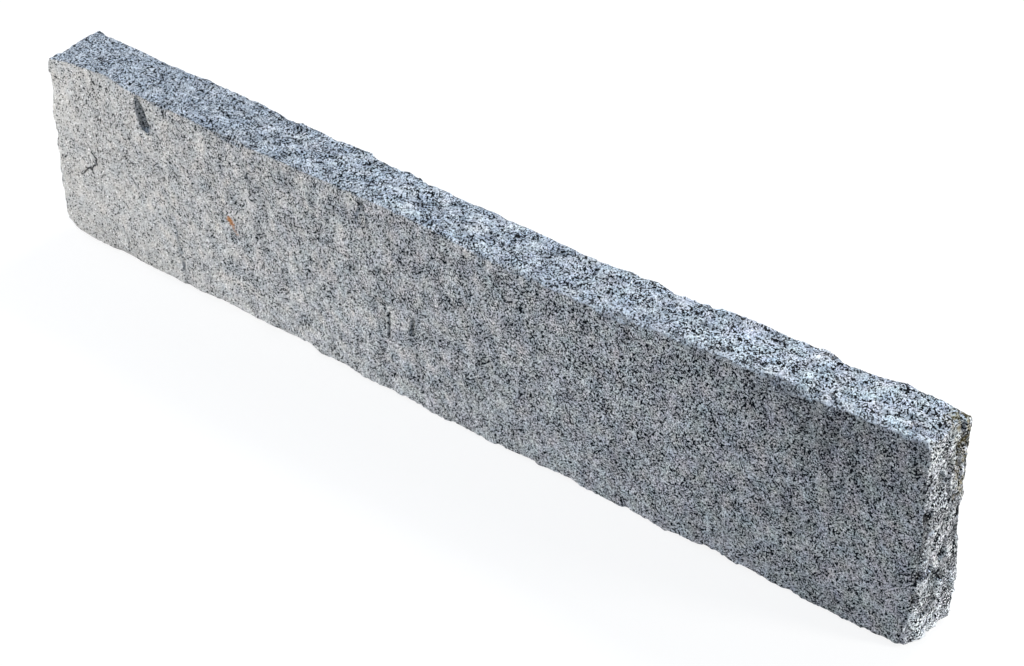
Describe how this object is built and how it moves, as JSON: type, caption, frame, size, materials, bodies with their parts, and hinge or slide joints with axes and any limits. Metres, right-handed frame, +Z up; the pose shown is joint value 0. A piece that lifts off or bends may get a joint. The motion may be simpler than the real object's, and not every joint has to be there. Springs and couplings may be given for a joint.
{
  "type": "granite kerb stone",
  "caption": "Hewn granite kerb or edging stone: a long narrow rectangular block, split on all sides, with wavy faces, chipped arrises and a leaf-shaped wedge slot, standing on edge.",
  "frame": {"origin": "middle of the long narrow bed that the stone stands on, under the centre of its bounding box", "axes": "+X along the stone, from the end with the wedge slot to the other end; -Y out of the show face; +Z up through the narrow top"},
  "size_m": [1.0094, 0.0664, 0.1985],
  "materials": {
    "granite": "matte"
  },
  "bodies": {
    "root": {"kerb_stone": "granite"}
  },
  "joints": []
}
